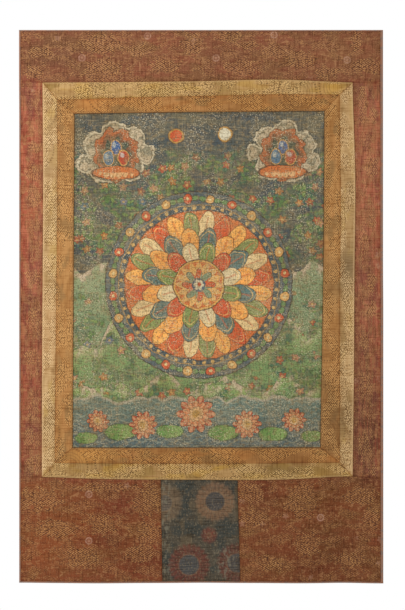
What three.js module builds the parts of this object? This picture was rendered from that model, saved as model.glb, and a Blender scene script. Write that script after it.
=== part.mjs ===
// A painted cloth sewn into two gold silk borders and a red brocade mount, as it hangs from its top edge.
// Millimetres, +Z up. The origin is the middle of the top edge, and the picture faces -Y.
import * as THREE from "three";
import { mergeVertices } from "three/addons/utils/BufferGeometryUtils.js";

// Driving dimensions
const WIDTH = 728;
const HEIGHT = 1106;
const SEAM_GAP = 0.3;
const GRID_STEP = 30;

// How thick each kind of cloth is, and how far its middle stands out towards the viewer.
const CLOTHS = {
  painting: { thickness: 1.4, stand: 0, color: 0x937e5a, roughness: 0.9 },
  innerBorder: { thickness: 1.8, stand: 0.7, color: 0x9e7142, roughness: 0.7 },
  outerBorder: { thickness: 1.8, stand: 0.7, color: 0xa98755, roughness: 0.7 },
  brocade: { thickness: 1.6, stand: 0, color: 0x865839, roughness: 0.8 },
  door: { thickness: 1.6, stand: 0, color: 0x56493d, roughness: 0.8 },
  binding: { thickness: 2.4, stand: 0, color: 0x8e6c5a, roughness: 0.9 },
};

// The part of the binding that shows on the face, along each edge.
const BINDING_WIDTH = { top: 2.4, bottom: 3, left: 3, right: 5 };

// Seams that run across, as drops below the top edge at five even places from left to right.
const CROSS_SEAMS = {
  outerTop: { start: 105, quarter: 104.2, middle: 102.4, threeQuarter: 99.2, end: 105 },
  outerBottom: { start: 894, quarter: 898.4, middle: 899.4, threeQuarter: 899.4, end: 892.4 },
  innerTop: { start: 140, quarter: 135.6, middle: 132.6, threeQuarter: 129.2, end: 129.6 },
  innerBottom: { start: 865.6, quarter: 866.8, middle: 866.8, threeQuarter: 866.4, end: 864.8 },
  pictureTop: { start: 167.4, quarter: 165.6, middle: 164, threeQuarter: 163, end: 162 },
  pictureBottom: { start: 835.4, quarter: 835.8, middle: 835.4, threeQuarter: 835.2, end: 835 },
};

// Seams that run down, as distances to the right of the middle at five even places from top to bottom.
const DOWN_SEAMS = {
  outerLeft: { start: -317, quarter: -316, middle: -317, threeQuarter: -318.2, end: -318.4 },
  outerRight: { start: 303.2, quarter: 308.6, middle: 306.8, threeQuarter: 305.6, end: 303.2 },
  innerLeft: { start: -287, quarter: -287, middle: -288.8, threeQuarter: -290.8, end: -292 },
  innerRight: { start: 277, quarter: 279, middle: 278, threeQuarter: 277.4, end: 277 },
  pictureLeft: { start: -253.2, quarter: -254.2, middle: -255, threeQuarter: -256, end: -257 },
  pictureRight: { start: 246.8, quarter: 246, middle: 244.6, threeQuarter: 241.6, end: 239 },
  doorLeft: { start: -80.6, quarter: -80, middle: -79, threeQuarter: -78.2, end: -77.4 },
  doorRight: { start: 73.4, quarter: 74.4, middle: 76, threeQuarter: 77.4, end: 78.6 },
};

// Where the red panels' own seams meet the edge binding, as drops below the top edge.
const PANEL_SEAMS = { headingLeft: 101.6, headingRight: 104, footLeft: 894, footRight: 896 };

// Soft folds along a line, each with its reach to either side and its rise towards the viewer.
const FOLDS = [
  { fromX: -364, fromZ: -170, toX: -364, toZ: -1106, reach: 70, rise: -5 },
  { fromX: 364, fromZ: -560, toX: 364, toZ: -1106, reach: 80, rise: 6 },
  { fromX: -222, fromZ: -930, toX: -205, toZ: -1106, reach: 85, rise: 5 },
  { fromX: 178, fromZ: -950, toX: 196, toZ: -1106, reach: 80, rise: 4.5 },
  { fromX: 292, fromZ: -940, toX: 286, toZ: -1106, reach: 55, rise: -4 },
  { fromX: -8, fromZ: -960, toX: 4, toZ: -1106, reach: 75, rise: -4 },
  { fromX: -140, fromZ: -290, toX: -60, toZ: -420, reach: 160, rise: 3 },
  { fromX: 80, fromZ: -640, toX: 170, toZ: -720, reach: 140, rise: 2.5 },
  { fromX: -250, fromZ: -520, toX: 250, toZ: -545, reach: 75, rise: -2 },
  { fromX: 150, fromZ: -40, toX: 250, toZ: -90, reach: 65, rise: 2 },
];
const FOLD_STEEPNESS = 2;

// How far below the top edge the cloth is kept flat by what holds it.
const HELD_DEPTH = 70;

// Rounds that settle a place between seams which depend on each other.
const PLACE_ROUNDS = 12;

// A value along a seam, from its five places, as one smooth curve.
function alongSeam(seam, fraction) {
  const values = [seam.start, seam.quarter, seam.middle, seam.threeQuarter, seam.end];
  const curve = new THREE.SplineCurve(values.map((value, place) => new THREE.Vector2(place, value)));
  return curve.getPoint(THREE.MathUtils.clamp(fraction, 0, 1)).y;
}

// The four corners of a frame of seams, found where each pair of seams crosses.
function cornersOf(name) {
  const top = CROSS_SEAMS[`${name}Top`];
  const bottom = CROSS_SEAMS[`${name}Bottom`];
  const left = DOWN_SEAMS[`${name}Left`];
  const right = DOWN_SEAMS[`${name}Right`];
  return {
    topLeft: { x: left.start, z: -top.start },
    topRight: { x: right.start, z: -top.end },
    bottomLeft: { x: left.end, z: -bottom.start },
    bottomRight: { x: right.end, z: -bottom.end },
  };
}

const OUTER = cornersOf("outer");
const INNER = cornersOf("inner");
const PICTURE = cornersOf("picture");

// The inner edges of the binding, which bound the red panels.
const FIELD = {
  left: -WIDTH / 2 + BINDING_WIDTH.left,
  right: WIDTH / 2 - BINDING_WIDTH.right,
  top: -BINDING_WIDTH.top,
  bottom: -HEIGHT + BINDING_WIDTH.bottom,
};

// A seam across as a height for each x, between two corners.
function crossSeam(name, leftCorner, rightCorner) {
  return (x) => -alongSeam(CROSS_SEAMS[name], (x - leftCorner.x) / (rightCorner.x - leftCorner.x));
}

// A seam down as an x for each height, between two corners.
function downSeam(name, topCorner, bottomCorner) {
  return (z) => alongSeam(DOWN_SEAMS[name], (z - topCorner.z) / (bottomCorner.z - topCorner.z));
}

// A straight seam between two points, as a height for each x or as an x for each height.
const heightOnLine = (a, b) => (x) => a.z + ((b.z - a.z) * (x - a.x)) / (b.x - a.x);
const placeOnLine = (a, b) => (z) => a.x + ((b.x - a.x) * (z - a.z)) / (b.z - a.z);
const level = (value) => () => value;

// The whole seam under the heading or over the foot: a red seam, the border's edge, a red seam.
function panelSeam(border, leftCorner, rightCorner, leftDrop, rightDrop) {
  const leftEnd = { x: FIELD.left, z: -leftDrop };
  const rightEnd = { x: FIELD.right, z: -rightDrop };
  return (x) => {
    if (x < leftCorner.x) return heightOnLine(leftEnd, leftCorner)(x);
    if (x > rightCorner.x) return heightOnLine(rightCorner, rightEnd)(x);
    return border(x);
  };
}

const outerTop = crossSeam("outerTop", OUTER.topLeft, OUTER.topRight);
const outerBottom = crossSeam("outerBottom", OUTER.bottomLeft, OUTER.bottomRight);
const headingSeam = panelSeam(
  outerTop, OUTER.topLeft, OUTER.topRight, PANEL_SEAMS.headingLeft, PANEL_SEAMS.headingRight,
);
const footSeam = panelSeam(
  outerBottom, OUTER.bottomLeft, OUTER.bottomRight, PANEL_SEAMS.footLeft, PANEL_SEAMS.footRight,
);
const doorTop = { x: 0, z: -CROSS_SEAMS.outerBottom.middle };
const doorBottom = { x: 0, z: FIELD.bottom };
const doorLeft = downSeam("doorLeft", doorTop, doorBottom);
const doorRight = downSeam("doorRight", doorTop, doorBottom);

// How far the hanging cloth stands towards the viewer at a place on its face.
function foldRise(x, z) {
  let rise = 0;
  for (const fold of FOLDS) {
    const runX = fold.toX - fold.fromX;
    const runZ = fold.toZ - fold.fromZ;
    const share = ((x - fold.fromX) * runX + (z - fold.fromZ) * runZ) / (runX * runX + runZ * runZ);
    const along = THREE.MathUtils.clamp(share, 0, 1);
    const away = Math.hypot(x - fold.fromX - along * runX, z - fold.fromZ - along * runZ);
    rise += fold.rise * Math.exp(-FOLD_STEEPNESS * (away / fold.reach) ** 2);
  }
  return rise * THREE.MathUtils.smoothstep(-z, 0, HELD_DEPTH);
}

// Even fractions from 0 to 1, with every break kept as one of them.
function fractions(length, breaks = []) {
  const stops = [0, ...breaks, 1];
  const places = [0];
  for (let stop = 1; stop < stops.length; stop += 1) {
    const span = stops[stop] - stops[stop - 1];
    const steps = Math.max(1, Math.round((span * length) / GRID_STEP));
    for (let step = 1; step <= steps; step += 1) {
      places.push(stops[stop - 1] + (span * step) / steps);
    }
  }
  return places;
}

// The place on the face at fractions across and down, inside four seams that each depend on the other.
function placeInside(seams, across, down) {
  let x = 0;
  let z = (seams.top(0) + seams.bottom(0)) / 2;
  for (let round = 0; round < PLACE_ROUNDS; round += 1) {
    x = THREE.MathUtils.lerp(seams.left(z) + seams.insetX, seams.right(z) - seams.insetX, across);
    z = THREE.MathUtils.lerp(seams.top(x) - seams.insetZ, seams.bottom(x) + seams.insetZ, down);
  }
  return { x, z };
}

// One sheet of cloth between four seams, on the folds of the whole hanging.
function sheet(name, cloth, seams, breaks = []) {
  const half = SEAM_GAP / 2;
  const bounds = { insetX: half, insetZ: half, ...seams };
  const topLeft = placeInside(bounds, 0, 0);
  const bottomRight = placeInside(bounds, 1, 1);
  const columns = fractions(bottomRight.x - topLeft.x, breaks);
  const rows = fractions(topLeft.z - bottomRight.z);
  const geometry = new THREE.BoxGeometry(1, 1, 1, columns.length - 1, 1, rows.length - 1);
  geometry.deleteAttribute("normal");
  geometry.deleteAttribute("uv");
  const merged = mergeVertices(geometry);
  const points = merged.getAttribute("position");
  for (let index = 0; index < points.count; index += 1) {
    const column = Math.round((points.getX(index) + 0.5) * (columns.length - 1));
    const row = Math.round((0.5 - points.getZ(index)) * (rows.length - 1));
    const { x, z } = placeInside(bounds, columns[column], rows[row]);
    const middle = -foldRise(x, z) - cloth.stand;
    points.setXYZ(index, x, middle + points.getY(index) * cloth.thickness, z);
  }
  const { color, roughness } = cloth;
  const mesh = new THREE.Mesh(merged, new THREE.MeshStandardMaterial({ color, roughness, metalness: 0 }));
  mesh.name = name;
  return mesh;
}

// Four strips with mitred corners, between an outer and an inner frame of seams.
function mitredFrame(name, cloth, outerName, outer, innerName, inner) {
  const mitre = (SEAM_GAP / 2) * Math.SQRT2;
  return [
    sheet(`${name}_top`, cloth, {
      top: crossSeam(`${outerName}Top`, outer.topLeft, outer.topRight),
      bottom: crossSeam(`${innerName}Top`, inner.topLeft, inner.topRight),
      left: placeOnLine(outer.topLeft, inner.topLeft),
      right: placeOnLine(outer.topRight, inner.topRight),
      insetX: mitre,
    }),
    sheet(`${name}_bottom`, cloth, {
      top: crossSeam(`${innerName}Bottom`, inner.bottomLeft, inner.bottomRight),
      bottom: crossSeam(`${outerName}Bottom`, outer.bottomLeft, outer.bottomRight),
      left: placeOnLine(outer.bottomLeft, inner.bottomLeft),
      right: placeOnLine(outer.bottomRight, inner.bottomRight),
      insetX: mitre,
    }),
    sheet(`${name}_left`, cloth, {
      top: heightOnLine(outer.topLeft, inner.topLeft),
      bottom: heightOnLine(outer.bottomLeft, inner.bottomLeft),
      left: downSeam(`${outerName}Left`, outer.topLeft, outer.bottomLeft),
      right: downSeam(`${innerName}Left`, inner.topLeft, inner.bottomLeft),
      insetZ: mitre,
    }),
    sheet(`${name}_right`, cloth, {
      top: heightOnLine(outer.topRight, inner.topRight),
      bottom: heightOnLine(outer.bottomRight, inner.bottomRight),
      left: downSeam(`${innerName}Right`, inner.topRight, inner.bottomRight),
      right: downSeam(`${outerName}Right`, outer.topRight, outer.bottomRight),
      insetZ: mitre,
    }),
  ];
}

function painting() {
  return sheet("painting", CLOTHS.painting, {
    top: crossSeam("pictureTop", PICTURE.topLeft, PICTURE.topRight),
    bottom: crossSeam("pictureBottom", PICTURE.bottomLeft, PICTURE.bottomRight),
    left: downSeam("pictureLeft", PICTURE.topLeft, PICTURE.bottomLeft),
    right: downSeam("pictureRight", PICTURE.topRight, PICTURE.bottomRight),
  });
}

// The red brocade above, beside and below the borders, and the door panel in the foot.
function mountPanels() {
  const { left, right, top, bottom } = FIELD;
  const shareOf = (x, from, to) => (x - from) / (to - from);
  const headingBreaks = [shareOf(OUTER.topLeft.x, left, right), shareOf(OUTER.topRight.x, left, right)];
  const leftFootBreak = shareOf(OUTER.bottomLeft.x, left, DOWN_SEAMS.doorLeft.start);
  const rightFootBreak = shareOf(OUTER.bottomRight.x, DOWN_SEAMS.doorRight.start, right);
  const outerLeft = downSeam("outerLeft", OUTER.topLeft, OUTER.bottomLeft);
  const outerRight = downSeam("outerRight", OUTER.topRight, OUTER.bottomRight);
  const floor = level(bottom);
  return [
    sheet(
      "heading_panel", CLOTHS.brocade,
      { top: level(top), bottom: headingSeam, left: level(left), right: level(right) },
      headingBreaks,
    ),
    sheet("side_panel_left", CLOTHS.brocade, {
      top: headingSeam, bottom: footSeam, left: level(left), right: outerLeft,
    }),
    sheet("side_panel_right", CLOTHS.brocade, {
      top: headingSeam, bottom: footSeam, left: outerRight, right: level(right),
    }),
    sheet(
      "foot_panel_left", CLOTHS.brocade,
      { top: footSeam, bottom: floor, left: level(left), right: doorLeft },
      [leftFootBreak],
    ),
    sheet(
      "foot_panel_right", CLOTHS.brocade,
      { top: footSeam, bottom: floor, left: doorRight, right: level(right) },
      [rightFootBreak],
    ),
    sheet("door_panel", CLOTHS.door, { top: footSeam, bottom: floor, left: doorLeft, right: doorRight }),
  ];
}

// The narrow strips round the outside: the upright ones run between the top and bottom ones.
// Their outer edges have no seam, so they are set out by the half gap that every sheet is drawn in by.
function edgeBinding() {
  const { left, right, top, bottom } = FIELD;
  const spare = SEAM_GAP / 2;
  const ends = { left: level(-WIDTH / 2 - spare), right: level(WIDTH / 2 + spare) };
  const upright = { top: level(top), bottom: level(bottom) };
  const lowest = level(-HEIGHT - spare);
  return [
    sheet("edge_binding_top", CLOTHS.binding, { ...ends, top: level(spare), bottom: level(top) }),
    sheet("edge_binding_bottom", CLOTHS.binding, { ...ends, top: level(bottom), bottom: lowest }),
    sheet("edge_binding_left", CLOTHS.binding, { ...upright, left: ends.left, right: level(left) }),
    sheet("edge_binding_right", CLOTHS.binding, { ...upright, left: level(right), right: ends.right }),
  ];
}

const hanging = new THREE.Group();
hanging.add(
  painting(),
  ...mitredFrame("inner_border", CLOTHS.innerBorder, "inner", INNER, "picture", PICTURE),
  ...mitredFrame("outer_border", CLOTHS.outerBorder, "outer", OUTER, "inner", INNER),
  ...mountPanels(),
  ...edgeBinding(),
);

export default hanging;
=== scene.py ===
"""The looks of a painted hanging: thin sheets on the folds of its solids, and the finish of each cloth."""
import math
from collections import namedtuple

import bpy
import numpy as np
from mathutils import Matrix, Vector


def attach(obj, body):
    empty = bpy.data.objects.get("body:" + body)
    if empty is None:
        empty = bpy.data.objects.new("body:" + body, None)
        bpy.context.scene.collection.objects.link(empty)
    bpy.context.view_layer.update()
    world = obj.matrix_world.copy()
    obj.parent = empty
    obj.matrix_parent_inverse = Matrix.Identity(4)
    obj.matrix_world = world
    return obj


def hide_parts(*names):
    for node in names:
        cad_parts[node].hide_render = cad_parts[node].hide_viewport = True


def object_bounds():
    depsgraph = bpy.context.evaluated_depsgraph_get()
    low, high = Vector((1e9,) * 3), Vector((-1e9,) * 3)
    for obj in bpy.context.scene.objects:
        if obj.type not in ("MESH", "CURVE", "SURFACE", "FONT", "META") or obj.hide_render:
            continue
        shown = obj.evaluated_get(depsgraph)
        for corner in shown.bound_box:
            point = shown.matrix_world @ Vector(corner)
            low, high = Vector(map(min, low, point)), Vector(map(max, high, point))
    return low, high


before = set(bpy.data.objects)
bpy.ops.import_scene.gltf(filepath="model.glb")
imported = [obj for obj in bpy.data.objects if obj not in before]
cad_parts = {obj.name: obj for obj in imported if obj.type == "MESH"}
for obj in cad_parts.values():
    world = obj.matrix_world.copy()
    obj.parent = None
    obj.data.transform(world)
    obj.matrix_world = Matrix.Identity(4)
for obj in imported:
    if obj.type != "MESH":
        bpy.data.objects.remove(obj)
CAD_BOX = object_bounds()
SCENE = bpy.context.scene

# Sizes below are in millimetres, and Blender's are in metres.
MM = 0.001
LOW, HIGH = ([value / MM for value in corner] for corner in CAD_BOX)
WIDTH = HIGH[0] - LOW[0]
HEIGHT = HIGH[2] - LOW[2]

# The seams of the hanging, as in its solids
# Each seam has five even places: its start, quarter, middle, three quarters and end.
# Seams that run across are drops below the top edge, from left to right.
CROSS_SEAMS = {
    "outer_top": (105, 104.2, 102.4, 99.2, 105),
    "outer_bottom": (894, 898.4, 899.4, 899.4, 892.4),
    "inner_top": (140, 135.6, 132.6, 129.2, 129.6),
    "inner_bottom": (865.6, 866.8, 866.8, 866.4, 864.8),
    "picture_top": (167.4, 165.6, 164, 163, 162),
    "picture_bottom": (835.4, 835.8, 835.4, 835.2, 835),
}
# Seams that run down are distances to the right of the middle, from top to bottom.
DOWN_SEAMS = {
    "outer_left": (-317, -316, -317, -318.2, -318.4),
    "outer_right": (303.2, 308.6, 306.8, 305.6, 303.2),
    "inner_left": (-287, -287, -288.8, -290.8, -292),
    "inner_right": (277, 279, 278, 277.4, 277),
    "picture_left": (-253.2, -254.2, -255, -256, -257),
    "picture_right": (246.8, 246, 244.6, 241.6, 239),
    "door_left": (-80.6, -80, -79, -78.2, -77.4),
    "door_right": (73.4, 74.4, 76, 77.4, 78.6),
}
# Drops of the red panels' own seams at the edge binding.
PANEL_SEAMS = {"heading_left": 101.6, "heading_right": 104, "foot_left": 894, "foot_right": 896}
BINDING_WIDTH = {"top": 2.4, "bottom": 3, "left": 3, "right": 5}

# Soft folds along a line, each with its reach to either side and its rise towards the viewer.
Fold = namedtuple("Fold", "from_x from_z to_x to_z reach rise")
FOLDS = (
    Fold(-364, -170, -364, -1106, 70, -5),
    Fold(364, -560, 364, -1106, 80, 6),
    Fold(-222, -930, -205, -1106, 85, 5),
    Fold(178, -950, 196, -1106, 80, 4.5),
    Fold(292, -940, 286, -1106, 55, -4),
    Fold(-8, -960, 4, -1106, 75, -4),
    Fold(-140, -290, -60, -420, 160, 3),
    Fold(80, -640, 170, -720, 140, 2.5),
    Fold(-250, -520, 250, -545, 75, -2),
    Fold(150, -40, 250, -90, 65, 2),
)
FOLD_STEEPNESS = 2
HELD_DEPTH = 70
PLACE_ROUNDS = 12

# Creases, which are too fine for the solids: marks of rolling, and wrinkles in the silk and the brocade.
CREASES = (
    Fold(-250, -232, 244, -228, 5, 0.5),
    Fold(-252, -352, 90, -346, 4, -0.4),
    Fold(-60, -468, 244, -474, 5, 0.45),
    Fold(-254, -604, 200, -612, 4, 0.4),
    Fold(-120, -742, 240, -735, 5, -0.45),
    Fold(286, -206, 307, -216, 3, -0.5),
    Fold(282, -232, 306, -226, 3, 0.5),
    Fold(-314, -232, -290, -240, 3, 0.5),
    Fold(-315, -418, -292, -408, 3, -0.5),
    Fold(-317, -640, -292, -652, 3, 0.5),
    Fold(280, -520, 305, -532, 3, 0.5),
    Fold(279, -690, 304, -680, 3, -0.45),
    Fold(-180, -872, -176, -896, 3, 0.4),
    Fold(112, -872, 108, -898, 3, -0.6),
    Fold(-30, -108, -22, -130, 3, 0.4),
    Fold(206, -101, 214, -128, 3, -0.5),
    Fold(-350, -60, -120, -52, 7, 0.6),
    Fold(60, -28, 340, -36, 8, -0.6),
    Fold(-340, -960, -120, -952, 7, 0.6),
    Fold(110, -1010, 350, -1000, 8, 0.7),
    Fold(-345, -300, -338, -520, 8, 0.8),
    Fold(335, -200, 330, -430, 8, 0.7),
    Fold(-62, -1040, 66, -1048, 6, 0.5),
)

# The cloths: how thick, and how far they stand towards the viewer.
Cloth = namedtuple("Cloth", "thickness stand slot")
CLOTHS = {
    "painting": Cloth(1.4, 0, "painted_cotton"),
    "inner_border": Cloth(1.8, 0.7, "orange_gold_silk"),
    "outer_border": Cloth(1.8, 0.7, "pale_gold_silk"),
    "brocade": Cloth(1.6, 0, "red_brocade"),
    "door": Cloth(1.6, 0, "door_silk"),
    "binding": Cloth(2.4, 0, "edge_binding"),
}

# How a sheet is drawn: its grid, and how its edge rolls down into a seam and puckers beside it.
GRID_STEP = 3
EDGE_STEPS = (0, 0.5, 1.1, 1.9, 3, 4.5, 6.5)
SEAM_OVERLAP = 0.1
SEAM_DEPTH = 0.16
SEAM_REACH = 1.1
TURNING_RISE = 0.2
TURNING_PLACE = 5.5
TURNING_REACH = 3.5
PUCKER_RISE = 0.22
PUCKER_REACH = 10
# The puckers are waves that sway, with a share of finer waves that drift against them.
PUCKER_WAVE = 5.3
PUCKER_SWAY = 1.3
PUCKER_SWAY_WAVE = 23
FINE_SHARE = 0.6
FINE_WAVE = 2.9
FINE_DRIFT = 61
SHARP_ANGLE = math.radians(50)
CLOTH_MAP = "cloth"
EDGE_NAME = "edge"
RIM_NAME = "rim"
SPOT_NAME = "spots"
FAR_FROM_EDGE = 100

# Where the brocade's gold diaper is least worn: place, and reach across and down.
Spot = namedtuple("Spot", "x z reach_x reach_z")
HEADING_SPOTS = (
    Spot(-200, -28, 46, 24), Spot(-196, -80, 46, 24), Spot(-124, -40, 28, 14), Spot(-72, -72, 32, 14),
    Spot(-18, -28, 24, 22), Spot(58, -14, 30, 12), Spot(81, -76, 36, 18), Spot(91, -30, 24, 9),
    Spot(195, -60, 34, 18), Spot(145, -44, 26, 16), Spot(252, -86, 28, 12), Spot(312, -22, 12, 24),
    Spot(332, -72, 36, 16), Spot(-320, -44, 26, 12), Spot(-334, -84, 20, 14),
)
SIDE_SPOTS = (
    Spot(-334, -234, 10, 14), Spot(-336, -288, 16, 16), Spot(-334, -334, 14, 22), Spot(-338, -494, 14, 18),
    Spot(-336, -580, 12, 30), Spot(-343, -652, 12, 16), Spot(-336, -764, 14, 22), Spot(-342, -816, 12, 20),
    Spot(-332, -870, 20, 18), Spot(324, -152, 9, 42), Spot(344, -172, 8, 14), Spot(341, -272, 14, 22),
    Spot(342, -383, 8, 14), Spot(325, -423, 10, 22), Spot(340, -506, 10, 20), Spot(341, -557, 12, 18),
    Spot(326, -620, 10, 20), Spot(327, -710, 13, 26), Spot(325, -833, 12, 30), Spot(346, -880, 8, 14),
)
FOOT_SPOTS = (
    Spot(-106, -940, 32, 34), Spot(-103, -1006, 28, 24), Spot(-195, -988, 32, 22), Spot(-122, -1046, 34, 18),
    Spot(-320, -940, 44, 24), Spot(-290, -998, 46, 18), Spot(-239, -1054, 36, 22), Spot(-190, -914, 60, 10),
    Spot(99, -926, 28, 24), Spot(106, -976, 28, 18), Spot(202, -940, 34, 38), Spot(213, -1028, 28, 24),
    Spot(320, -932, 36, 18), Spot(342, -976, 18, 28), Spot(140, -1066, 34, 16), Spot(300, -1060, 34, 16),
)
DIAPER_SPOTS = HEADING_SPOTS + SIDE_SPOTS + FOOT_SPOTS
# Where a spot ends, as a share of its reach.
SPOT_END = 1.5


def along_seam(values, fraction):
    """A smooth curve through a seam's five places."""
    last = len(values) - 1
    place = np.clip(fraction, 0, 1) * last
    first = np.clip(np.floor(place), 0, last - 1).astype(int)
    part = place - first
    known = np.asarray(values, float)
    before, start = known[np.maximum(first - 1, 0)], known[first]
    end, after = known[first + 1], known[np.minimum(first + 2, last)]
    slope_in, slope_out = (end - before) / 2, (after - start) / 2
    cubic = 2 * start - 2 * end + slope_in + slope_out
    square = -3 * start + 3 * end - 2 * slope_in - slope_out
    return ((cubic * part + square) * part + slope_in) * part + start


# Where each corner lies on the seams that meet there: their first place or their last.
ENDS = {"top": 0, "bottom": -1}
SIDES = {"left": 0, "right": -1}


def corners_of(name):
    """The corners of a frame of seams, as (x, z)."""
    return {
        f"{end}_{side}": (DOWN_SEAMS[f"{name}_{side}"][row], -CROSS_SEAMS[f"{name}_{end}"][column])
        for end, row in ENDS.items()
        for side, column in SIDES.items()
    }


CORNERS = {name: corners_of(name) for name in ("outer", "inner", "picture")}
FIELD = {
    "left": -WIDTH / 2 + BINDING_WIDTH["left"],
    "right": WIDTH / 2 - BINDING_WIDTH["right"],
    "top": -BINDING_WIDTH["top"],
    "bottom": -HEIGHT + BINDING_WIDTH["bottom"],
}


def cross_seam(name, left, right):
    """A seam across, as a height for each x."""
    return lambda x: -along_seam(CROSS_SEAMS[name], (x - left[0]) / (right[0] - left[0]))


def down_seam(name, top, bottom):
    """A seam down, as an x for each height."""
    return lambda z: along_seam(DOWN_SEAMS[name], (z - top[1]) / (bottom[1] - top[1]))


def height_on_line(a, b):
    return lambda x: a[1] + (b[1] - a[1]) * (x - a[0]) / (b[0] - a[0])


def place_on_line(a, b):
    return lambda z: a[0] + (b[0] - a[0]) * (z - a[1]) / (b[1] - a[1])


def level(value):
    return lambda other: value + 0 * other


def frame_seams(name):
    """The four seams of a frame, each as a curve."""
    corners = CORNERS[name]
    seams = {}
    for end in ENDS:
        seams[end] = cross_seam(f"{name}_{end}", *(corners[f"{end}_{side}"] for side in SIDES))
    for side in SIDES:
        seams[side] = down_seam(f"{name}_{side}", *(corners[f"{end}_{side}"] for end in ENDS))
    return seams


def panel_seam(end, panel):
    """The whole seam under the heading or over the foot: a red seam, the border's edge, a red seam."""
    left, right = (CORNERS["outer"][f"{end}_{side}"] for side in SIDES)
    before = height_on_line((FIELD["left"], -PANEL_SEAMS[panel + "_left"]), left)
    after = height_on_line(right, (FIELD["right"], -PANEL_SEAMS[panel + "_right"]))
    border = cross_seam("outer_" + end, left, right)
    return lambda x: np.where(x < left[0], before(x), np.where(x > right[0], after(x), border(x)))


def rise_of(folds, x, z):
    """How far a set of soft folds lifts the cloth towards the viewer."""
    rise = np.zeros_like(x)
    for fold in folds:
        run_x, run_z = fold.to_x - fold.from_x, fold.to_z - fold.from_z
        share = ((x - fold.from_x) * run_x + (z - fold.from_z) * run_z) / (run_x**2 + run_z**2)
        share = np.clip(share, 0, 1)
        away = np.hypot(x - fold.from_x - share * run_x, z - fold.from_z - share * run_z)
        rise += fold.rise * np.exp(-FOLD_STEEPNESS * (away / fold.reach) ** 2)
    return rise


def fold_rise(x, z):
    held = np.clip(-z / HELD_DEPTH, 0, 1)
    return rise_of(FOLDS, x, z) * held * held * (3 - 2 * held)


def place_inside(seams, across, down):
    """The x and z at fractions across and down between four seams that each depend on the other."""
    x = 0 * across
    z = (seams["top"](x) + seams["bottom"](x)) / 2
    for _ in range(PLACE_ROUNDS):
        left, right = seams["left"](z) - SEAM_OVERLAP, seams["right"](z) + SEAM_OVERLAP
        x = left + (right - left) * across
        top, bottom = seams["top"](x) + SEAM_OVERLAP, seams["bottom"](x) - SEAM_OVERLAP
        z = top + (bottom - top) * down
    return x, z


def spread(length):
    """Fractions along a length, close together at both ends and even between them."""
    near = [step for step in EDGE_STEPS if step < length / 3]
    inner = length - 2 * near[-1]
    count = max(1, round(inner / GRID_STEP))
    between = near[-1] + inner * np.arange(1, count) / count
    return np.concatenate([near, between, length - np.array(near[::-1])]) / length


def wave(along):
    """An uneven ripple, for the puckers beside a seam."""
    main = np.sin(along / PUCKER_WAVE + PUCKER_SWAY * np.sin(along / PUCKER_SWAY_WAVE))
    return main + FINE_SHARE * np.sin(along / FINE_WAVE + along / FINE_DRIFT)


def seam_relief(seams, x, z, rim):
    """How a sheet rolls down at its edges and puckers beside them, and how far its edges are.

    The rim is the one edge, if any, that lies on top of the next cloth as a fold.
    """
    away = {
        "top": seams["top"](x) - z,
        "bottom": z - seams["bottom"](x),
        "left": x - seams["left"](z),
        "right": seams["right"](z) - x,
    }
    away = {side: distance.clip(0) for side, distance in away.items()}
    level_edge = np.minimum(away["top"], away["bottom"])
    upright_edge = np.minimum(away["left"], away["right"])
    nearest = np.minimum(level_edge, upright_edge)
    relief = -SEAM_DEPTH * np.exp(-((nearest / SEAM_REACH) ** 2))
    relief += TURNING_RISE * np.exp(-(((nearest - TURNING_PLACE) / TURNING_REACH) ** 2))
    relief += PUCKER_RISE * wave(x) * np.exp(-level_edge / PUCKER_REACH)
    relief += PUCKER_RISE * wave(z) * np.exp(-upright_edge / PUCKER_REACH)
    rim_away = away.pop(rim) if rim else np.full_like(x, FAR_FROM_EDGE)
    seam_away = np.minimum.reduce(list(away.values()))
    return relief, seam_away, rim_away


def spot_share(x, z):
    """1 in the middle of the spots where the diaper is least worn, and 0 well outside them."""
    nearest = np.full_like(x, FAR_FROM_EDGE)
    for spot in DIAPER_SPOTS:
        nearest = np.minimum(nearest, np.hypot((x - spot.x) / spot.reach_x, (z - spot.z) / spot.reach_z))
    return np.clip(SPOT_END - nearest, 0, 1)


def grid_faces(rows, columns):
    """Quads of a grid whose first row is the top one, facing the viewer."""
    index = np.arange(rows * columns).reshape(rows, columns)
    corners = (index[1:, :-1], index[1:, 1:], index[:-1, 1:], index[:-1, :-1])
    return np.stack([corner.ravel() for corner in corners], 1)


def rim_loop(rows, columns):
    """The grid's outer points in turn, anticlockwise as the viewer sees them."""
    index = np.arange(rows * columns).reshape(rows, columns)
    return np.concatenate([index[-1, :-1], index[:0:-1, -1], index[0, :0:-1], index[:-1, 0]])


def add_object(name, points, faces, places, materials, kinds=None, distances=()):
    """A smooth mesh in metres with its cloth places as a UV map, riding on the frame's one body."""
    mesh = bpy.data.meshes.new(name)
    mesh.from_pydata((np.asarray(points) * MM).tolist(), [], [list(face) for face in faces])
    loops = np.empty(len(mesh.loops), int)
    mesh.loops.foreach_get("vertex_index", loops)
    layer = mesh.uv_layers.new(name=CLOTH_MAP)
    layer.uv.foreach_set("vector", (np.asarray(places) * MM)[loops].astype(np.float32).ravel())
    for label, values in zip((EDGE_NAME, RIM_NAME, SPOT_NAME), distances):
        mesh.attributes.new(label, "FLOAT", "POINT").data.foreach_set("value", values.astype(np.float32))
    mesh.polygons.foreach_set("use_smooth", np.ones(len(mesh.polygons), bool))
    mesh.set_sharp_from_angle(angle=SHARP_ANGLE)
    for material in materials:
        mesh.materials.append(material)
    if kinds is not None:
        mesh.polygons.foreach_set("material_index", kinds.astype(np.int32))
    mesh.update()
    made = bpy.data.objects.new(name, mesh)
    SCENE.collection.objects.link(made)
    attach(made, "root")
    return made


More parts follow.
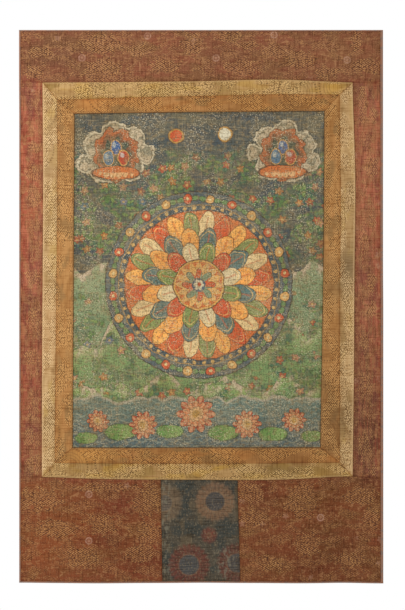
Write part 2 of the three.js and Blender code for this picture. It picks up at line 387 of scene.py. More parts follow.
def add_sheet(node, cloth, seams, materials, upright=False, rim=None):
    """One sheet of cloth in place of its solid: a front and a back on the same folds, joined at the rim."""
    kind = CLOTHS[cloth]
    middle = np.array(0.5)
    middle_x, middle_z = place_inside(seams, middle, middle)
    width = float(seams["right"](middle_z) - seams["left"](middle_z))
    length = float(seams["top"](middle_x) - seams["bottom"](middle_x))
    longest = np.stack(place_inside(seams, np.array([0.0, 1.0, 0.0]), np.array([0.0, 0.0, 1.0])))
    columns = spread(max(width, longest[0, 1] - longest[0, 0]))
    rows = spread(max(length, longest[1, 0] - longest[1, 2]))
    across, down = np.meshgrid(columns, rows)
    x, z = place_inside(seams, across, down)
    relief, edge, rim_away = seam_relief(seams, x, z, rim)
    middle_rise = fold_rise(x, z) + rise_of(CREASES, x, z) + kind.stand
    front = middle_rise + relief + kind.thickness / 2
    back = middle_rise - kind.thickness / 2
    points = np.concatenate([
        np.stack([x.ravel(), -front.ravel(), z.ravel()], 1),
        np.stack([x.ravel(), -back.ravel(), z.ravel()], 1),
    ])
    count = x.size
    faces = grid_faces(*x.shape)
    loop = rim_loop(*x.shape)
    after = np.roll(loop, -1)
    band = np.stack([after, loop, loop + count, after + count], 1)
    every = np.concatenate([faces, faces[:, ::-1] + count, band])
    kinds = np.concatenate([np.zeros(len(faces)), np.ones(len(faces)), np.zeros(len(band))])
    place = np.stack([z.ravel(), x.ravel()] if upright else [x.ravel(), z.ravel()], 1)
    distances = [np.tile(grid.ravel(), 2) for grid in (edge, rim_away, spot_share(x, z))]
    made = add_object(node + "_cloth", points, every, np.tile(place, (2, 1)), materials, kinds, distances)
    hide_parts(node)


# The binding is a narrow strip folded round the edge: over the face, round the rim and onto the back.
BINDING_BACK = 7
BINDING_CLOTH = 0.5
BINDING_STEP = 4
BINDING_BEVEL = 0.3
BINDING_ROUND = 0.9


def binding_section(width, half):
    """Points across the folded strip, as (distance in from the edge, depth), outside then inside."""
    inner = half - BINDING_CLOTH
    turned = [(BINDING_ROUND, 1), (BINDING_BEVEL, 0.8), (0, 0.4)]
    outside = [(width, -inner), (width - BINDING_BEVEL, -half)]
    outside += [(inward, -half * share) for inward, share in turned]
    outside += [(inward, half * share) for inward, share in turned[::-1]]
    outside += [(BINDING_BACK - BINDING_BEVEL, half), (BINDING_BACK, inner)]
    inside = [(BINDING_ROUND, inner), (BINDING_CLOTH, inner / 2)]
    inside += [(inward, -depth) for inward, depth in inside[::-1]]
    return np.array(outside + inside)


def add_binding(node, side, material):
    """One edge's binding, swept along the edge on the folds of the cloth."""
    section = binding_section(BINDING_WIDTH[side], CLOTHS["binding"].thickness / 2)
    ends = (-WIDTH / 2, WIDTH / 2) if side in ENDS else (FIELD["bottom"], FIELD["top"])
    steps = round((ends[1] - ends[0]) / BINDING_STEP) + 1
    along = np.linspace(ends[0], ends[1], steps)[:, None] + 0 * section[None, :, 0]
    inward = section[None, :, 0] + 0 * along
    x, z = {
        "top": (along, -inward),
        "bottom": (along, -HEIGHT + inward),
        "left": (-WIDTH / 2 + inward, along),
        "right": (WIDTH / 2 - inward, along),
    }[side]
    depth = section[None, :, 1] - fold_rise(x, z)
    points = np.stack([x.ravel(), depth.ravel(), z.ravel()], 1)
    count = len(section)
    index = np.arange(steps * count).reshape(steps, count)
    turned = np.roll(index, -1, axis=1)
    faces = np.stack([index[:-1].ravel(), turned[:-1].ravel(), turned[1:].ravel(), index[1:].ravel()], 1)
    if side in ("top", "right"):
        faces = faces[:, ::-1]
    every = [list(face) for face in faces]
    caps = [list(index[0]), list(index[-1][::-1])]
    every += caps if side in ("top", "right") else [cap[::-1] for cap in caps]
    places = np.stack([along.ravel(), np.tile(np.arange(count), steps)], 1)
    made = add_object(node + "_cloth", points, every, places, [material])
    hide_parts(node)
    cut = (BINDING_WIDTH[side] + CLOTHS["binding"].thickness + BINDING_BACK) * MM
    float(ends[1] - ends[0]) * MM


# Paint and weave, as shader nodes
SEED_STEP = 7.31
PAINT_EDGE = 2.0
PLACE_REACH = 1200
WAVER_LENGTH = 24
WAVER_SWING = 4
# How uneven the diaper's lattice is, and how fast it darkens away from each dot.
DIAPER_JITTER = 0.48
DIAPER_FALL = 2.6
# How colours go on: over what is there, or multiplied with it.
LAY = "MIX"
DIM = "MULTIPLY"
# Lumps of colour: how they go on, their colour, width and height, the noise's seed and detail, where in the
# noise they start and are whole, and their strength.
Lumps = namedtuple("Lumps", "way color width height seed detail start whole strength")


def shade(red, green, blue):
    """A colour from its display values, 0 to 255, as the shader takes it."""
    parts = [value / 255 for value in (red, green, blue)]
    return [part / 12.92 if part <= 0.04045 else ((part + 0.055) / 1.055) ** 2.4 for part in parts] + [1]


class Number:
    """A number at every point of a cloth: one output of a shader node, with arithmetic."""

    def __init__(self, surface, socket):
        self.surface = surface
        self.socket = socket

    def __rsub__(self, other):
        return self.surface.math("SUBTRACT", other, self)

    def step(self, low, high):
        """0 at low and before it, 1 at high and past it; low may be the larger."""
        made = self.surface.node("ShaderNodeMapRange", interpolation_type="SMOOTHSTEP", clamp=False)
        self.surface.feed(made.inputs["Value"], self)
        self.surface.feed(made.inputs["From Min"], low)
        self.surface.feed(made.inputs["From Max"], high)
        return Number(self.surface, made.outputs["Result"])

    def under(self, edge, soft=PAINT_EDGE):
        """1 where this is less than the edge."""
        return self.step(edge + soft / 2, edge - soft / 2)

    def line(self, at, width, soft=PAINT_EDGE / 2):
        """1 on a line of this width where this equals at."""
        return abs(self - at).under(width / 2, soft)


def number_method(operation):
    return lambda self, *others: self.surface.math(operation, self, *others)


NUMBER_METHODS = {
    "__add__": "ADD", "__sub__": "SUBTRACT", "__mul__": "MULTIPLY", "__truediv__": "DIVIDE",
    "__abs__": "ABSOLUTE", "sine": "SINE", "cosine": "COSINE", "fraction": "FRACT",
    "least": "MINIMUM", "most": "MAXIMUM",
}
for method, operation in NUMBER_METHODS.items():
    setattr(Number, method, number_method(operation))


class Surface:
    """One cloth's look: places in millimetres on the cloth, and a colour that is laid on in layers."""

    def __init__(self, tree, middle=(0, 0)):
        self.nodes = tree.nodes
        self.links = tree.links
        self.nodes.clear()
        spread_out = self.node("ShaderNodeUVMap", uv_map=CLOTH_MAP).outputs["UV"]
        self.place = self.mapped(spread_out, (1 / MM, 1 / MM), (-middle[0], -middle[1]))
        self.x, self.y = self.split(self.place, PLACE_REACH)
        self.edge, self.rim, self.spots = map(self.attribute, (EDGE_NAME, RIM_NAME, SPOT_NAME))
        self.color = None

    def waver(self):
        """Makes every later line uneven, as if drawn by hand and then worn."""
        self.x = self.x + (self.noise(WAVER_LENGTH, seed=71, detail=5) - 0.5) * (2 * WAVER_SWING)
        self.y = self.y + (self.noise(WAVER_LENGTH, seed=72, detail=5) - 0.5) * (2 * WAVER_SWING)

    def node(self, kind, **settings):
        made = self.nodes.new(kind)
        for setting, value in settings.items():
            setattr(made, setting, value)
        return made

    def feed(self, socket, value):
        if isinstance(value, Number):
            value = value.socket
        if isinstance(value, bpy.types.NodeSocket):
            self.links.new(value, socket)
        else:
            socket.default_value = value

    def attribute(self, label):
        return Number(self, self.node("ShaderNodeAttribute", attribute_name=label).outputs["Fac"])

    def math(self, operation, *values):
        made = self.node("ShaderNodeMath", operation=operation)
        for socket, value in zip(made.inputs, values):
            self.feed(socket, value)
        return Number(self, made.outputs[0])

    def mapped(self, vector, scale, start, turn=0.0):
        """A place that is scaled, turned and moved."""
        made = self.node("ShaderNodeMapping")
        self.feed(made.inputs["Vector"], vector)
        self.feed(made.inputs["Scale"], (scale[0], scale[1], 0))
        self.feed(made.inputs["Rotation"], (0, 0, turn))
        self.feed(made.inputs["Location"], (start[0], start[1], 0))
        return made.outputs[0]

    def split(self, vector, reach):
        """The x and y of a place that lies within this reach of the middle, each read off a straight ramp."""
        numbers = []
        for turn in (0, -math.pi / 2):
            ramp = self.node("ShaderNodeTexGradient", gradient_type="LINEAR")
            self.feed(ramp.inputs[0], self.mapped(vector, (0.5 / reach, 0.5 / reach), (0.5, 0.5), turn))
            numbers.append((Number(self, ramp.outputs["Fac"]) - 0.5) * (2 * reach))
        return numbers

    def away(self, x, y):
        """The distance from a point."""
        return self.length(self.x - x, self.y - y)

    def length(self, x, y):
        return self.math("SQRT", x * x + y * y)

    def angle(self, x, y):
        return self.math("ARCTAN2", y, x)

    def texture(self, kind, size, seed, turn=0.0, **inputs):
        """A texture whose features have this width and height; each seed gives another part of it."""
        start = (seed * SEED_STEP, -seed * SEED_STEP)
        inputs["Vector"] = self.mapped(self.place, (1 / size[0], 1 / size[1]), start, turn)
        made = self.node(kind)
        for name, value in inputs.items():
            self.feed(made.inputs[name], value)
        return made

    def noise(self, width, height=None, seed=0, detail=2.0):
        """Soft random numbers about a half, whose lumps have this width and height."""
        made = self.texture("ShaderNodeTexNoise", (width, height or width), seed, Scale=1.0, Detail=detail)
        made.noise_dimensions = "2D"
        return Number(self, made.outputs[0])

    def points(self, width, height, seed, jitter, turn=0.0):
        """A lattice of points this far apart, each moved at random; a jitter of 1 moves them most."""
        made = self.texture("ShaderNodeTexVoronoi", (width, height), seed, turn, Scale=1.0, Randomness=jitter)
        made.voronoi_dimensions = "2D"
        return made

    def cells(self, size, seed, jitter=1.0):
        """Scattered points: x and y from the nearest one, and three random numbers that belong to it."""
        made = self.points(size, size, seed, jitter)
        moved = seed * SEED_STEP * size
        back = self.mapped(made.outputs["Position"], (size, size), (-moved, moved))
        point_x, point_y = self.split(back, PLACE_REACH)
        parts = self.node("ShaderNodeSeparateColor")
        self.feed(parts.inputs[0], made.outputs["Color"])
        numbers = (Number(self, output) for output in parts.outputs)
        return (self.x - point_x, self.y - point_y, *numbers)

    def stipple(self, width, height, seed):
        """A close diaper of light dots on dark, as a fine figured weave looks: about -1 to 1."""
        made = self.points(width, height, seed, DIAPER_JITTER, math.pi / 4)
        return 1 - Number(self, made.outputs["Distance"]) * DIAPER_FALL

    def blend(self, first, second, mask, way=LAY):
        """Two colours, of which the second shows where the mask is 1; a tuple holds display values."""
        made = self.node("ShaderNodeMix", data_type="RGBA", blend_type=way)
        for place, value in zip((0, 6, 7), (mask, first, second)):
            self.feed(made.inputs[place], shade(*value) if isinstance(value, tuple) else value)
        return made.outputs[2]

    def lay(self, color, mask):
        """Lays a colour over what is there, where the mask is 1."""
        self.color = self.blend(self.color, color, mask)

    def dim(self, color, mask):
        """Multiplies what is there by a colour, where the mask is 1."""
        self.color = self.blend(self.color, color, mask, DIM)

    def mottle(self, rows, where=None):
        """Lays on rows of lumps, everywhere or where a mask is 1."""
        for row in rows:
            noise = self.noise(row.width, row.height, row.seed, row.detail)
            mask = noise.step(row.start, row.whole) * row.strength
            self.color = self.blend(self.color, row.color, mask if where is None else mask * where, row.way)

    def nest(self, distance, rows, soft=PAINT_EDGE):
        """Lays colours inside one another, each as far as its own distance."""
        for reach, color in rows:
            self.lay(color, distance.under(reach, soft))

    def around(self, x, y):
        """The distance and direction from a point."""
        aside, above = self.x - x, self.y - y
        return self.length(aside, above), self.angle(aside, above)

    def paint(self, part, middle):
        """Lays on one part of a picture, which is drawn in a node group of its own."""
        tree = bpy.data.node_groups.new(part.__name__, "ShaderNodeTree")
        tree.interface.new_socket("Under", in_out="INPUT", socket_type="NodeSocketColor")
        tree.interface.new_socket("Over", in_out="OUTPUT", socket_type="NodeSocketColor")
        inner = Surface(tree, middle)
        inner.waver()
        inner.color = inner.node("NodeGroupInput").outputs[0]
        part(inner)
        inner.feed(inner.node("NodeGroupOutput").inputs[0], inner.color)
        made = self.node("ShaderNodeGroup", node_tree=tree)
        self.feed(made.inputs[0], self.color)
        self.color = made.outputs[0]

    def finish(self, roughness, height, specular=0.25, sheen=0.0):
        """The cloth's shader, with a bump whose height is in millimetres."""
        shader = self.node("ShaderNodeBsdfPrincipled")
        self.feed(shader.inputs["Base Color"], self.color)
        self.feed(shader.inputs["Roughness"], roughness)
        self.feed(shader.inputs["Specular IOR Level"], specular)
        if sheen:
            self.feed(shader.inputs["Sheen Weight"], sheen)
        bump = self.node("ShaderNodeBump")
        self.feed(bump.inputs["Distance"], MM)
        self.feed(bump.inputs["Height"], height)
        self.feed(shader.inputs["Normal"], bump.outputs[0])
        out = self.node("ShaderNodeOutputMaterial")
        self.feed(out.inputs["Surface"], shader.outputs[0])


def new_material(name, draw, *details):
    """A material whose nodes are drawn by one of the functions below."""
    material = bpy.data.materials.new(name)
    material.use_nodes = True
    draw(Surface(material.node_tree), *details)
    return material


# Thick places in the threads: how many threads long and wide they are.
SLUB_LENGTH = 6
SLUB_WIDTH = 2
# How far soiling reaches from a seam, and where it is whole.
SOIL_END = 9
SOIL_WHOLE = 1
SOIL_COLOR = (236, 226, 214)


def weave_height(s, pitch, depth):
    """A plain weave: threads that pass over and under each other, with thick places."""
    turn = math.pi / pitch
    slubs = s.noise(pitch * SLUB_LENGTH, pitch * SLUB_WIDTH, seed=9)
    return (s.x * turn).sine() * (s.y * turn).sine() * depth + slubs * depth


def seam_shade_and_soil(s, color, reach):
    """A painted shade line in the seam, and a little soiling beside it."""
    # Painted shade: a dark line along the seam, where the cloths meet and the raised cloth shades the lower
    # one.
    s.dim(color, s.edge.step(reach, reach * 0.2))
    s.dim(SOIL_COLOR, s.edge.step(SOIL_END, SOIL_WHOLE) * s.noise(14, seed=41).step(0.35, 0.65))


# Fading, soiling and stains, and painted shade where the light falls off towards the bottom and the right,
# each a soft patch:
# place, reach across and down, colour and strength.
Patch = namedtuple("Patch", "x z reach_x reach_z color strength")


def lay_patches(s, patches, x, z):
    for patch in patches:
        across = (x - patch.x) / patch.reach_x
        down = (z - patch.z) / patch.reach_z
        s.lay(patch.color, s.length(across, down).step(1, 0) * patch.strength)


BROCADE_PATCHES = (
    Patch(-300, -50, 150, 70, (106, 72, 50), 0.7),
    Patch(60, -50, 130, 60, (120, 78, 52), 0.4),
    Patch(290, -50, 160, 70, (146, 100, 66), 0.45),
    Patch(-345, -230, 40, 170, (170, 84, 62), 0.6),
    Patch(-335, -420, 60, 190, (158, 92, 66), 0.5),
    Patch(-352, -720, 44, 200, (168, 98, 70), 0.6),
    Patch(-345, -140, 40, 80, (134, 76, 66), 0.6),
    Patch(-338, -490, 40, 90, (140, 78, 66), 0.55),
    Patch(-330, -740, 30, 90, (128, 66, 54), 0.5),
    Patch(336, -140, 50, 50, (126, 80, 60), 0.5),
    Patch(350, -300, 24, 100, (176, 98, 82), 0.5),
    Patch(-340, -345, 40, 80, (188, 116, 80), 0.5),
    Patch(340, -230, 60, 160, (190, 124, 90), 0.7),
    Patch(336, -370, 60, 150, (184, 122, 88), 0.6),
    Patch(335, -520, 60, 190, (150, 94, 70), 0.55),
    Patch(335, -820, 60, 170, (90, 54, 40), 0.75),
    Patch(-230, -990, 190, 120, (142, 80, 42), 0.5),
    Patch(-110, -1060, 70, 60, (114, 52, 40), 0.6),
    Patch(-160, -945, 80, 50, (118, 64, 52), 0.6),
    Patch(-186, -1016, 60, 36, (112, 62, 48), 0.6),
    Patch(-354, -440, 12, 380, (168, 84, 62), 0.5),
    Patch(354, -500, 12, 420, (166, 88, 66), 0.55),
    Patch(320, -660, 20, 300, (112, 72, 54), 0.45),
    Patch(352, -866, 14, 26, (170, 112, 76), 0.6),
    Patch(322, -846, 14, 44, (72, 42, 36), 0.6),
    Patch(-322, -866, 20, 50, (150, 100, 64), 0.5),
    Patch(-320, -1040, 110, 110, (156, 98, 64), 0.6),
    Patch(-330, -930, 90, 60, (160, 104, 70), 0.5),
    Patch(230, -940, 160, 90, (120, 76, 42), 0.5),
    Patch(250, -1060, 170, 90, (108, 62, 38), 0.6),
    Patch(120, -930, 60, 60, (102, 56, 38), 0.6),
)

# Middles of the branching sprays, as x and z.
BROCADE_SPRAYS = ((-283, -34), (-128, -56), (-18, -48), (151, -34), (262, -48))
# Middles of the pale roundels, as x and z.
BROCADE_ROUNDELS = (
    (-238, -56), (30, -56), (292, -60), (-107, -12), (146, -10), (-224, -928), (-224, -1021), (239, -975),
)

# The diaper on the side panels is a column: its distance from the middle of the hanging, and its half width.
COLUMN_PLACE = 331
COLUMN_REACH = 15
# Where the foot begins, below which the brocade is painted in shade, and where the side panels begin and the
# sides' lighter upper part ends, each as a soft step.
FOOT_SHADE_TOP = (-888, -910)
SIDES_IN = (308, 318)
SIDES_TOP = (-100, -106)
SIDES_BOTTOM = (-898, -892)
SIDES_UPPER = (-760, -560)

BROCADE_GROUND = (
    Lumps(LAY, (140, 82, 58), 90, 40, 1, 3, 0.46, 0.62, 0.6),
    Lumps(LAY, (122, 88, 56), 70, 36, 2, 3, 0.48, 0.64, 0.7),
)
SIDE_STREAKS = (Lumps(LAY, (156, 74, 56), 3.5, 90, 3, 2, 0.5, 0.64, 0.4),)
SIDE_LIGHTS = (Lumps(LAY, (188, 118, 88), 13, 50, 14, 3, 0.5, 0.62, 0.55),)
SIDE_STAINS = (
    Lumps(LAY, (112, 66, 56), 16, 50, 15, 2, 0.5, 0.66, 0.5),
    Lumps(LAY, (158, 114, 76), 14, 22, 19, 2, 0.5, 0.64, 0.5),
)
BROCADE_THREADS = (
    Lumps(DIM, (190, 168, 150), 2.1, 30, 11, 2, 0.54, 0.66, 0.65),
    Lumps(DIM, (196, 176, 158), 34, 2.1, 12, 2, 0.54, 0.66, 0.65),
    Lumps(LAY, (166, 122, 88), 2.6, 2.2, 13, 1, 0.6, 0.74, 0.4),
)


def red_brocade(s):
    """Faded red brocade: worn patches of gold diaper, sprays and pale roundels on a mottled ground."""
    s.color = (130, 84, 58)
    s.mottle(BROCADE_GROUND)
    # Patches of fading and stains, with painted shade that darkens the lower parts of the brocade.
    lay_patches(s, BROCADE_PATCHES, s.x, s.y)
    # Painted shade: the foot is dimmed and warmed, as the light falls off towards the bottom.
    s.dim((236, 222, 194), s.y.step(*FOOT_SHADE_TOP))
    sides = abs(s.x).step(*SIDES_IN) * s.y.step(*SIDES_TOP) * s.y.step(*SIDES_BOTTOM)
    s.mottle(SIDE_STREAKS, sides)
    s.mottle(SIDE_LIGHTS, sides * s.y.step(*SIDES_UPPER))
    s.mottle(SIDE_STAINS, sides)
    lines = s.stipple(4.7, 3.0, 4) * (1 - sides) + s.stipple(3.0, 4.7, 5) * sides
    column = abs(abs(s.x) - COLUMN_PLACE).under(COLUMN_REACH, COLUMN_REACH)
    kept = s.noise(40, 22, seed=7, detail=2).step(0.47, 0.57) * (1 - sides)
    kept = kept + s.noise(18, 34, seed=16, detail=2).step(0.44, 0.54) * column * sides
    ragged = (s.noise(13, 9, seed=18, detail=3) - 0.5) * 1.7
    strong = (s.spots + ragged).step(0.38, 0.7)
    kept = (kept * 0.6).most(strong)
    worn = s.noise(16, 12, seed=8, detail=2).step(0.3, 0.6)
    s.dim((246, 234, 230), 1 - kept)
    s.lay((140, 96, 60), kept * 0.2)
    s.lay((82, 50, 34), lines.step(0.1, -0.7) * kept * (1 - sides * 0.4))
    s.lay((198, 148, 90), lines.step(0, 0.8) * kept * worn.most(strong * 0.65))
    sprays = abs(s.noise(22, 15, seed=9, detail=3) - 0.5).step(0.06, 0.01)
    strokes = s.noise(10, 8, seed=17, detail=2).step(0.46, 0.6)
    s.lay((168, 122, 80), sprays * strokes * (1 - kept * 0.6) * 0.5)
    x, y, kind, turn, _ = s.cells(46, 10, 0.9)
    reach = s.length(x, y)
    bloom = (reach - (s.angle(x, y) * 5 + turn * 9).cosine() * 1.5).under(5.5, 2) * kind.step(0.84, 0.88)
    s.lay((176, 134, 108), bloom * worn * 0.4)
    for middle in BROCADE_SPRAYS:
        reach, turn = s.around(*middle)
        rays = (turn * 7 + reach / 8).cosine().step(0.72, 0.96)
        s.lay((174, 128, 88), rays * reach.step(36, 22) * reach.step(1, 5) * worn * 0.5)
    for middle in BROCADE_ROUNDELS:
        ring = s.away(*middle)
        s.lay((184, 144, 122), ring.line(6, 2.6, 1.5) * worn.most(0.6) * 0.6)
        s.lay((176, 132, 108), ring.under(3, 2) * 0.5)
    s.mottle(BROCADE_THREADS)
    # Painted shade along the brocade's seams, with soiling beside them.
    seam_shade_and_soil(s, (228, 218, 210), 2)
    height = weave_height(s, 1.1, 0.05) + lines * kept * 0.05
    s.finish(0.8, height, specular=0.15, sheen=0.02)


# The gold silks. The level strips across have darker copies of the upright strips' colours, as painted shade.
# A silk's rim colour is a painted highlight on the pale silks and painted shade on the orange ones, and its
# stains include painted shade towards the right and the bottom.
Silk = namedtuple("Silk", "ground light glint dark rim tints stains")
ORANGE_UPRIGHT = Silk(
    ground=(156, 109, 58), light=(180, 132, 78), glint=(208, 158, 96), dark=(94, 62, 30), rim=(124, 92, 54),
    tints=((170, 120, 68), (142, 106, 62)),
    stains=(
        Patch(-270, -255, 40, 120, (146, 104, 60), 0.55),
        Patch(-272, -620, 40, 110, (186, 136, 80), 0.5),
        Patch(262, -505, 40, 80, (132, 102, 62), 0.65),
        Patch(260, -615, 40, 70, (174, 126, 74), 0.45),
        Patch(258, -790, 40, 150, (112, 80, 44), 0.7),
    ),
)
ORANGE_LEVEL = Silk(
    ground=(150, 102, 52), light=(172, 122, 70), glint=(198, 146, 82), dark=(84, 52, 22), rim=(118, 86, 50),
    tints=((164, 110, 56), (136, 100, 56)),
    stains=(
        Patch(-222, -150, 60, 40, (192, 128, 64), 0.6),
        Patch(58, -148, 70, 40, (142, 98, 52), 0.5),
        Patch(180, -146, 50, 40, (128, 92, 52), 0.6),
        Patch(-222, -850, 90, 40, (190, 134, 66), 0.75),
        Patch(160, -850, 110, 40, (120, 80, 42), 0.6),
    ),
)
PALE_UPRIGHT = Silk(
    ground=(172, 137, 90), light=(198, 164, 116), glint=(226, 192, 142), dark=(112, 84, 50),
    rim=(206, 170, 126), tints=((180, 146, 88), (160, 128, 82)),
    stains=(
        Patch(-302, -260, 40, 100, (160, 128, 88), 0.6),
        Patch(-304, -600, 40, 150, (200, 160, 114), 0.6),
        Patch(-304, -830, 40, 60, (166, 126, 74), 0.55),
        Patch(292, -220, 40, 140, (190, 152, 104), 0.5),
        Patch(292, -480, 40, 80, (118, 96, 66), 0.8),
        Patch(290, -770, 40, 60, (122, 94, 58), 0.7),
    ),
)
PALE_LEVEL = Silk(
    ground=(160, 124, 76), light=(186, 150, 98), glint=(216, 178, 118), dark=(84, 60, 28), rim=(176, 144, 98),
    tints=((170, 132, 62), (146, 114, 62)),
    stains=(
        Patch(140, -117, 180, 40, (182, 144, 92), 0.45),
        Patch(264, -114, 44, 40, (188, 142, 62), 0.7),
        Patch(-258, -880, 80, 40, (144, 110, 60), 0.65),
        Patch(160, -880, 70, 40, (120, 94, 54), 0.75),
        Patch(256, -880, 44, 40, (140, 104, 48), 0.75),
    ),
)


SILK_THREADS = (
    Lumps(DIM, (206, 188, 160), 2, 40, 6, 2, 0.52, 0.66, 0.6),
    Lumps(DIM, (216, 202, 180), 40, 2, 7, 2, 0.55, 0.7, 0.5),
    Lumps(DIM, (206, 186, 154), 20, 14, 8, 3, 0.54, 0.74, 0.4),
)


def gold_silk(s, silk, upright):
    """Ribbed silk with patches of a small diaper, dotted arcs and plain places, and painted light and shade
    at its rim.

    An upright strip's places run along it, so its x and z on the hanging change places.
    """
    s.color = silk.ground
    s.lay(silk.light, s.noise(90, 30, seed=1, detail=2).step(0.42, 0.62) * 0.8)
    for row, tint in enumerate(silk.tints):
        s.lay(tint, s.noise(64, 26, seed=20 + row, detail=2).step(0.5, 0.64) * 0.9)
    # Stains, with painted shade among them towards the right and the bottom of the frame.
    lay_patches(s, silk.stains, *((s.y, s.x) if upright else (s.x, s.y)))
    lines = s.stipple(3.9, 2.9, 2)
    kept = s.noise(50, 30, seed=5, detail=3).step(0.4, 0.52)
    s.lay(silk.dark, lines.step(0, -0.75) * kept * 0.85)
    s.lay(silk.glint, lines.step(-0.1, 0.7) * kept)
    x, y, kind, _, _ = s.cells(92, 30, 0.7)
    reach = s.length(x, y)
    dotted = (s.angle(x, y) * 44).cosine().step(-0.4, 0.5) * reach.line(38, 3.4, 1.6)
    arcs = (reach * (math.tau / 5.6)).sine().step(0.2, 0.9) * reach.line(24, 15, 5) * 0.5
    s.lay(silk.dark, dotted.most(arcs) * kind.step(0.3, 0.35) * 0.6)
    s.mottle(SILK_THREADS)
    # Painted light at the rim that folds over the next cloth: a painted highlight on the pale silks, painted
    # shade on the orange ones, and painted shade on the last millimetre.
    s.lay(silk.rim, s.rim.step(5, 1) * 0.5)
    s.dim((206, 186, 160), s.rim.step(1, 0))
    # Painted shade along the silk's seams, with soiling beside them.
    seam_shade_and_soil(s, (222, 206, 182), 1.6)
    height = weave_height(s, 0.9, 0.04) + lines * kept * 0.04
    s.finish(0.7, height, specular=0.18, sheen=0.03)


# The door's woven chrysanthemums: centre, size, colour of the petals and of the disc, and petals in the ring.
Bloom = namedtuple("Bloom", "x z radius disc petal_color disc_color petals strength")
DOOR_BLOOMS = (
    Bloom(28, -943, 38, 19, (128, 96, 70), (66, 68, 68), 22, 0.8),
    Bloom(-24, -1070, 40, 20, (106, 58, 46), (76, 80, 78), 24, 0.85),
    Bloom(72, -1066, 38, 19, (102, 58, 46), (76, 76, 72), 24, 0.8),
    Bloom(-74, -946, 36, 16, (120, 98, 74), (92, 84, 76), 20, 0.7),
    Bloom(16, -1011, 15, 3, (112, 60, 46), (104, 72, 52), 8, 0.8),
)


DOOR_GROUND = (
    Lumps(LAY, (62, 63, 57), 40, 30, 1, 3, 0.45, 0.6, 1),
    Lumps(LAY, (96, 82, 62), 26, 40, 2, 3, 0.5, 0.66, 0.7),
)
# Rubbed places along the left edge and in the lower right corner.
DOOR_EDGE = (-52, -76)
DOOR_CORNER = Spot(46, -1064, 34, 60)
DOOR_EDGE_WEAR = (Lumps(LAY, (122, 116, 98), 5, 14, 4, 3, 0.52, 0.62, 0.7),)
DOOR_CORNER_WEAR = (Lumps(LAY, (116, 110, 94), 7, 12, 5, 3, 0.54, 0.64, 0.6),)
DOOR_THREADS = (
    Lumps(LAY, (118, 104, 82), 3, 4, 6, 2, 0.56, 0.7, 0.7),
    Lumps(DIM, (166, 156, 142), 28, 2, 7, 2, 0.53, 0.65, 0.65),
    Lumps(DIM, (180, 170, 158), 2, 28, 8, 2, 0.55, 0.68, 0.5),
)


def door_silk(s):
    """Dark blue-grey silk with woven chrysanthemums, rubbed pale along its left edge and lower right."""
    s.color = (77, 70, 58)
    s.mottle(DOOR_GROUND)
    worn = s.noise(8, 6, seed=3, detail=3).step(0.68, 0.36) * 0.35 + 0.65
    for bloom in DOOR_BLOOMS:
        reach, turn = s.around(bloom.x, bloom.z)
        petal = (turn * bloom.petals).cosine()
        edge = reach - petal * (bloom.radius * 0.04)
        whole = edge.under(bloom.radius, 9) * bloom.strength
        s.lay(bloom.petal_color, whole * worn)
        between = petal.step(-0.2, -0.95) * reach.step(bloom.disc, bloom.disc + 6)
        s.lay((64, 50, 42), between * whole * 0.4)
        s.lay((138, 110, 80), reach.line(bloom.disc + 1.5, 2, 2) * worn * 0.45 * bloom.strength)
        s.lay(bloom.disc_color, reach.under(bloom.disc, 4) * bloom.strength)
        hatch = ((s.y - bloom.z) * (math.tau / 5)).sine().step(0.1, 0.8)
        s.lay((48, 48, 46), hatch * reach.under(bloom.disc - 2, 3) * 0.6 * bloom.strength)
    s.mottle(DOOR_EDGE_WEAR, s.x.step(*DOOR_EDGE))
    across, down = (s.x - DOOR_CORNER.x) / DOOR_CORNER.reach_x, (s.y - DOOR_CORNER.z) / DOOR_CORNER.reach_z
    s.mottle(DOOR_CORNER_WEAR, s.length(across, down).step(1, 0.3))
    s.mottle(DOOR_THREADS)
    # Painted shade along the door's seams, with soiling beside them.
    seam_shade_and_soil(s, (206, 196, 184), 2)
    s.finish(0.8, weave_height(s, 1.0, 0.05), specular=0.15, sheen=0.02)


BINDING_GROUND = (
    Lumps(LAY, (148, 106, 84), 30, 4, 1, 3, 0.44, 0.6, 1),
    Lumps(LAY, (122, 104, 94), 9, 3, 2, 2, 0.52, 0.66, 0.8),
)


def edge_binding(s):
    """Plain brown-grey cotton, rubbed on its fold."""
    s.color = (142, 108, 90)
    s.mottle(BINDING_GROUND)
    s.finish(0.9, s.noise(1.2, 1.2, seed=3) * 0.1, specular=0.15)


# Backs of the cloths: the ground, a lighter and a darker colour, and the weave's pitch.
Back = namedtuple("Back", "ground light dark pitch")
COTTON_BACK = Back((150, 128, 98), (164, 144, 112), (118, 98, 74), 1.3)
SILK_BACK = Back((136, 106, 70), (150, 120, 82), (112, 84, 56), 0.9)
BROCADE_BACK = Back((112, 72, 54), (128, 84, 60), (92, 58, 46), 1.1)
DOOR_BACK = Back((92, 84, 72), (106, 96, 80), (72, 68, 62), 1.0)


def reverse_cloth(s, back):
    """The plain back of a cloth: its weave, floats and old stains."""
    s.color = back.ground
    s.mottle((
        Lumps(LAY, back.light, 80, 60, 1, 4, 0.42, 0.66, 1),
        Lumps(LAY, back.dark, 120, 90, 2, 4, 0.54, 0.7, 0.6),
        Lumps(DIM, (206, 194, 180), 30, 1.6, 3, 2, 0.5, 0.68, 0.6),
        Lumps(DIM, (206, 194, 180), 1.6, 30, 4, 2, 0.5, 0.68, 0.6),
    ))
    s.finish(0.9, weave_height(s, back.pitch, 0.08), specular=0.15)


# The picture: a round of lotus petals over hills, leaves and flowers, with a lake below and clouds above
PICTURE_MIDDLE = (-4, -500)
GOLD = (188, 142, 74)

